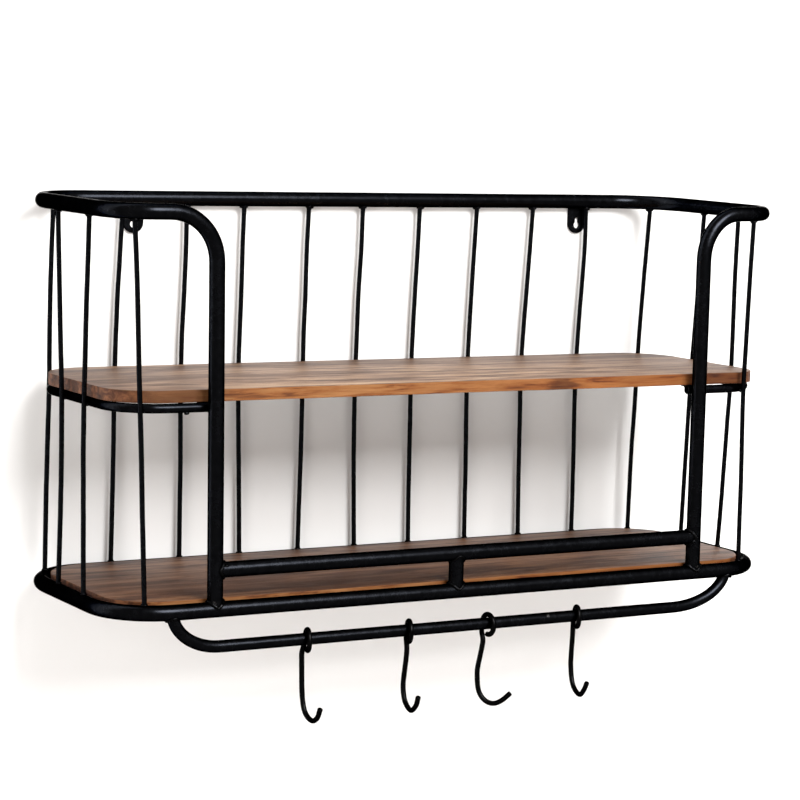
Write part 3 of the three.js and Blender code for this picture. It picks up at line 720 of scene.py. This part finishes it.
MID_SCREWS = [(-291, -224.5, "front_left"), (291, -224.5, "front_right"), (-252, rod_back - 13, "back_left"), (252, rod_back - 13, "back_right")]
LOW_SCREWS = [(-235, -230, "front_left"), (235, -230, "front_right"), (-235, -28, "back_left"), (235, -28, "back_right")]
SCREW_R, SCREW_L, LUG_T, LUG_W = 1.8, 9.5, 2.0, 14.0


def lug(x, y, dx, dy, length, z):
    r = LUG_W / 2
    outer = [(r * math.cos(a), r * math.sin(a)) for a in (math.pi / 2 + i / 16 * math.pi for i in range(17))] + [(length, -r), (length, r)]
    hole = [((SCREW_R + 0.4) * math.cos(a), (SCREW_R + 0.4) * math.sin(a)) for a in (-i / 16 * 2 * math.pi for i in range(16))]
    v, f = plate(outer, [hole], LUG_T, 0.25)
    q = Quaternion((0, 0, 1), math.atan2(dy, dx))
    return [q @ p + V(x, y, z + LUG_T / 2) for p in v], f


def screw(x, y, z, turn):
    """Pan-head screw, head down, with a cross recess and a rolled thread."""
    prof = [(0.0, -2.6), (0.9, -2.55), (1.8, -2.35), (2.7, -1.95), (3.4, -1.35), (3.8, -0.65), (3.9, -0.15), (3.8, 0.0), (SCREW_R, 0.0)]
    h = 0.4
    while h < SCREW_L - 1.2:
        prof += [(SCREW_R - 0.3, h), (SCREW_R, h + 0.45)]
        h += 0.9
    prof += [(SCREW_R - 0.4, SCREW_L - 0.6), (0.0, SCREW_L + 1.0)]
    n, verts, faces = 32, [], []
    cross_r = 2.3
    for r, hh in prof:
        if r == 0:
            verts.append(V(0, 0, hh))
        else:
            for j in range(n):
                a = 2 * math.pi * j / n
                p = V(r * math.cos(a), r * math.sin(a), hh)
                if hh < -1.9:
                    m = min(abs(p.x), abs(p.y))
                    if m < 0.55 and max(abs(p.x), abs(p.y)) < cross_r:
                        p.z += 1.1 * (1 - max(abs(p.x), abs(p.y)) / (cross_r * 1.3))
                verts.append(p)
    start = 1
    k = 1
    for j in range(n):
        faces.append((0, 1 + (j + 1) % n, 1 + j))
    rows = len(prof) - 2
    for i in range(rows - 1):
        for j in range(n):
            m = (j + 1) % n
            a, b = 1 + i * n, 1 + (i + 1) * n
            faces.append((a + j, a + m, b + m, b + j))
    last = len(verts) - 1
    a = 1 + (rows - 1) * n
    for j in range(n):
        faces.append((a + j, a + (j + 1) % n, last))
    q = Quaternion((0, 0, 1), turn)
    return [q @ p + V(x, y, z) for p in verts], faces


lug_welds = []
for k, (x, y, name) in enumerate(MID_SCREWS):
    z = MID_BOARD_Z - 0.3 - LUG_T
    front = y < -100
    v, f = lug(x, y, 0, -1, 8.6, z) if front else lug(x, y, 0, 1, 13 - ROD_R + 0.8, z)
    mesh_object("board_lug_middle_" + name, v, f, STEEL, "shelf", ["lug_middle_" + name], "black_steel", sharp=35)
    v, f = screw(x, y, z - 0.3, 0.7 + k)
    mesh_object("board_screw_middle_" + name, v, f, SCREW, "shelf", ["screw_middle_" + name], "black_screw", sharp=40)
    if front:
        lug_welds.append(open_bead(V(x - 6, y - 8.2, z - 0.5), V(x + 6, y - 8.2, z - 0.5), 1.1, k))
    else:
        lug_welds.append(open_bead(V(x - 6, y + 8.0, z - 0.5), V(x + 6, y + 8.0, z - 0.5), 1.1, k))
for k, (x, y, name) in enumerate(LOW_SCREWS):
    z, to = LOW_BOARD_Z - 0.3 - LUG_T, (-1 if y < -100 else 1)
    reach = (y - FRONT_Y if to < 0 else BACK_Y - y) - 6.4
    v, f = lug(x, y, 0, to, reach, z)
    mesh_object("board_lug_lower_" + name, v, f, STEEL, "shelf", ["lug_lower_" + name], "black_steel", sharp=35)
    v, f = screw(x, y, z - 0.3, 0.2 + k)
    mesh_object("board_screw_lower_" + name, v, f, SCREW, "shelf", ["screw_lower_" + name], "black_screw", sharp=40)
    yy = y + to * (reach - 0.6)
    lug_welds.append(open_bead(V(x - 6, yy, z - 0.3), V(x + 6, yy, z - 0.3), 1.1, k + 7))
mesh_object("welds_lugs", *join(lug_welds), WELD, "shelf", slot="black_steel")


# ---------------------------------------------------------------- boards
def board(name, node, hx, back, front, rb, rf, z, mat, seed, wave, right_rf=None):
    """A board cut by hand: slightly wavy outline, eased arrises, worn corners."""
    base = densify(loop_path(hx, back, front, rb, rf, 0, right_rf), 2.0, True)
    n = len(base)
    tang, _ = frames(base, True)
    outline = []
    for i, p in enumerate(base):
        out = tang[i].cross(Z)
        out = out if out.dot(p - V(0, (back + front) / 2, 0)) > 0 else -out
        on_front = max(0.0, -out.y)
        w = wave * on_front * (0.5 + 0.5 * noise.noise(V(p.x * 0.006 + seed, 2, 0)) * 1.6 - 0.0)
        w += 0.35 * (0.5 + 0.5 * noise.noise(V(p.x * 0.03 + seed, p.y * 0.03, 5)))
        outline.append((p, out, max(0.0, w)))
    rows = []
    ease = 1.1
    for kind, t in (("b", 0.0), ("b", 0.33), ("b", 0.66), ("b", 1.0), ("m", 0.25), ("m", 0.5), ("m", 0.75), ("t", 1.0), ("t", 0.66), ("t", 0.33), ("t", 0.0)):
        row = []
        for i, (p, out, w) in enumerate(outline):
            e = ease * (0.75 + 0.7 * noise.noise(V(p.x * 0.05, p.y * 0.05, seed)) + 0.25 * noise.noise(V(p.x * 0.3, p.y * 0.3, seed)))
            e = max(0.35, e)
            if kind == "m":
                inset, h = 0.0, e + (BOARD_T - 2 * e) * t
                rough = 0.16 * noise.noise(V(p.x * 0.25, p.y * 0.25, h * 0.5 + seed)) + 0.12 * noise.noise(V(p.x * 0.9, p.y * 0.9, h * 0.8))
                inset = max(0.0, 0.15 + rough)
            else:
                a = math.radians(90 * t)
                inset, dz = e * (1 - math.sin(a)), e * (1 - math.cos(a))
                h = dz if kind == "b" else BOARD_T - dz
            row.append(p - out * (w + inset) + V(0, 0, z + h))
        rows.append(row)
    verts = [v for row in rows for v in row]
    faces = []
    for r in range(len(rows) - 1):
        for i in range(n):
            j = (i + 1) % n
            faces.append((r * n + i, r * n + j, (r + 1) * n + j, (r + 1) * n + i))
    faces.append(tuple(reversed(range(n))))
    faces.append(tuple(range((len(rows) - 1) * n, len(rows) * n)))
    ob = mesh_object(name, verts, faces, mat, "shelf", [node], "mango_wood", sharp=60)
    me = ob.data
    bm = bmesh.new()
    bm.from_mesh(me)
    bmesh.ops.triangulate(bm, faces=[f for f in bm.faces if len(f.verts) > 4])
    bm.to_mesh(me)
    bm.free()
    return ob


board("board_middle", "middle_board", 386.5, BACK_Y - WIRE_R - 1.6, ROD_FRONT_Y - 1.5, 56, 50, MID_BOARD_Z, WOOD_MID, 1.5, 4.0, 38)
low_in = TUBE_R + 1.5
board("board_lower", "lower_board", HALF_W - low_in, BACK_Y - low_in, FRONT_Y + low_in, CORNER_R - low_in, CORNER_R - low_in, LOW_BOARD_Z, WOOD_LOW_PAINTED_SHADE, 6.5, 1.0)

# ---------------------------------------------------------------- hooks
# name, x on the rail, plan angles of the eye and of the bend, where the eye's cut end stops,
# then the wire from the eye down: distance behind the eye's centre, height, share of the turn
HOOKS = [
    ("1", -183.1, -16, 5, -64, ((10.4, -4, 0.2), (9.9, -9.5, 0.6), (9.8, -15, 1), (9.8, -22.3, 1), (9.3, -32.5, 1), (8.8, -42.7, 1), (8.0, -52.9, 1),
                                (4.7, -68.7, 1), (-2.2, -77.5, 1), (-12.8, -80.4, 1), (-21.6, -75.5, 1), (-26.4, -65.8, 1))),
    ("2", -65.5, -18, -3, -88, ((10.2, -4, 0.1), (8.4, -9, 0.4), (5.2, -13.4, 0.8), (3.7, -18.5, 1), (3.9, -24.5, 1), (6.0, -36.5, 1), (8.4, -48.6, 1),
                                (9.5, -60.7, 1), (4.7, -74.2, 1), (-8.8, -81.1, 1), (-20.3, -73.9, 1), (-25.1, -63.9, 1))),
    ("3", 29.8, 2, 42, -84, ((10.2, -4, 0.1), (8.6, -9, 0.35), (5.9, -13.4, 0.75), (5.0, -18, 1), (5.5, -22.4, 1), (7.3, -33.2, 1), (9.1, -43.0, 1),
                             (10.1, -53.5, 1), (8.0, -71.3, 1), (0.6, -81.2, 1), (-9.0, -83.5, 1), (-17.6, -79.3, 1), (-26.2, -71.3, 1))),
    ("4", 140.6, -20, -4, -76, ((10.4, -4, 0.1), (9.2, -9, 0.5), (7.4, -14, 0.9), (7.2, -22.3, 1), (8.0, -32.3, 1), (8.7, -43.3, 1), (8.7, -54.5, 1),
                                (5.2, -69.9, 1), (-2.2, -78.9, 1), (-13.1, -81.9, 1), (-21.2, -75.1, 1), (-26.9, -66.4, 1))),
]
for n, x, eye_yaw, hook_yaw, cut, knots in HOOKS:
    c = V(x, FRONT_Y, HOOK_RAIL_Z - EYE_DROP)

    def at(u, z, w, c=c, eye_yaw=eye_yaw, hook_yaw=hook_yaw):
        a = math.radians(eye_yaw + (hook_yaw - eye_yaw) * w)
        return c + V(-math.sin(a), math.cos(a), 0) * u + V(0, 0, z)

    pts = []
    # the eye: from its cut end under the rail, round the front, over the top and down the back
    for i in range(61):
        a = math.radians(cut - (360 + cut) * i / 60)
        pts.append(at(EYE_R * math.cos(a), EYE_R * math.sin(a), 0))
    pts += catmull([pts[-1]] + [at(*k) for k in knots], 12)[1:]
    pts = soften(pts, 3)
    # resample evenly
    length = [0.0]
    for a, b in zip(pts, pts[1:]):
        length.append(length[-1] + (b - a).length)
    total, even, k = length[-1], [], 0
    count = int(total / 1.0)
    for i in range(count + 1):
        s = total * i / count
        while k < len(pts) - 2 and length[k + 1] < s:
            k += 1
        t = (s - length[k]) / max(1e-9, length[k + 1] - length[k])
        even.append(pts[k].lerp(pts[k + 1], min(1.0, max(0.0, t))))
    mesh_object("hook_%s_bent_wire" % n, *sweep(even, HOOK_R - 0.02, 24, ends=("bevel", "bevel"), uneven=0.14, freq=0.16, seed=float(n) * 3, bevel=0.7),
                HOOK, "hook_" + n, ["hook_eye_" + n, "hook_shank_" + n], "black_steel")


# ---------------------------------------------------------------- stage: wall and floor
def stage_plane(name, corners, colour):
    me = bpy.data.meshes.new(name)
    me.from_pydata(corners, [], [(0, 1, 2, 3)])
    ob = bpy.data.objects.new(name, me)
    scene.collection.objects.link(ob)
    m = bpy.data.materials.new(name)
    m.use_nodes = True
    nt = m.node_tree
    nt.nodes.clear()
    out = nt.nodes.new("ShaderNodeOutputMaterial")
    mix = nt.nodes.new("ShaderNodeMixShader")
    d = nt.nodes.new("ShaderNodeBsdfDiffuse")
    d.inputs[0].default_value = (*colour, 1)
    t = nt.nodes.new("ShaderNodeBsdfTransparent")
    g = nt.nodes.new("ShaderNodeNewGeometry")
    nt.links.new(g.outputs["Backfacing"], mix.inputs[0])
    nt.links.new(d.outputs[0], mix.inputs[1])
    nt.links.new(t.outputs[0], mix.inputs[2])
    nt.links.new(mix.outputs[0], out.inputs[0])
    me.materials.append(m)
    return ob


FLOOR_Z, W = -0.78, 9.0
stage_plane("studio_wall", [(-W, 0.0006, FLOOR_Z), (W, 0.0006, FLOOR_Z), (W, 0.0006, 6.0), (-W, 0.0006, 6.0)], (0.86, 0.86, 0.86))
floor = stage_plane("studio_floor", [(-W, -W, FLOOR_Z), (W, -W, FLOOR_Z), (W, W, FLOOR_Z), (-W, W, FLOOR_Z)], (0.84, 0.83, 0.82))

floor.visible_glossy = False


# ---------------------------------------------------------------- light
def area(name, location, target, size, energy, colour=(1, 1, 1)):
    li = bpy.data.lights.new(name, "AREA")
    li.shape = "RECTANGLE"
    li.size, li.size_y = size
    li.energy = energy
    li.color = colour
    ob = bpy.data.objects.new(name, li)
    ob.location = location
    ob.rotation_mode = "QUATERNION"
    ob.rotation_quaternion = (Vector(target) - Vector(location)).to_track_quat("-Z", "Y")
    scene.collection.objects.link(ob)
    return ob


area("key", (0.52, -3.7, 2.22), (0, -0.1, -0.2), (2.4, 2.1), 325, (1.0, 0.995, 0.985))
fill = area("fill", (-3.2, -2.2, 0.2), (0, -0.1, -0.2), (1.6, 2.2), 36, (1.0, 0.985, 0.96))
left = area("left", (-1.35, -0.75, -0.15), (-0.6, 0.0, -0.3), (0.7, 0.9), 2.4, (1.0, 0.98, 0.96))
area("rear", (0.3, 3.2, 1.8), (0, 0, -0.2), (2.4, 1.6), 40, (1.0, 1.0, 1.0))
fill.visible_glossy = left.visible_glossy = False
world = bpy.data.worlds.new("studio")
world.use_nodes = True
world.node_tree.nodes["Background"].inputs[0].default_value = (1.0, 0.92, 0.86, 1)
world.node_tree.nodes["Background"].inputs[1].default_value = 0.34
scene.world = world
scene.view_settings.view_transform = "Standard"

# ---------------------------------------------------------------- camera
yaw, pitch, roll = 0.5226253, 0.1283735, 0.0290029
d = V(math.sin(yaw) * math.cos(pitch), math.cos(yaw) * math.cos(pitch), -math.sin(pitch))
r = V(math.cos(yaw), -math.sin(yaw), 0)
u = V(math.sin(yaw) * math.sin(pitch), math.cos(yaw) * math.sin(pitch), math.cos(pitch))
right = r * math.cos(roll) + u * math.sin(roll)
up = u * math.cos(roll) - r * math.sin(roll)
cam = bpy.data.cameras.new("camera")
cam.sensor_width = 36.0
cam.lens = 117.97
cam.shift_x, cam.shift_y = -0.0047, 0.0492
cam.clip_start, cam.clip_end = 0.05, 60
cam_ob = bpy.data.objects.new("camera", cam)
cam_ob.matrix_world = Matrix(((right.x, up.x, -d.x, -1.3951), (right.y, up.y, -d.y, -2.5360), (right.z, up.z, -d.z, 0.1348), (0, 0, 0, 1)))
scene.collection.objects.link(cam_ob)
scene.camera = cam_ob
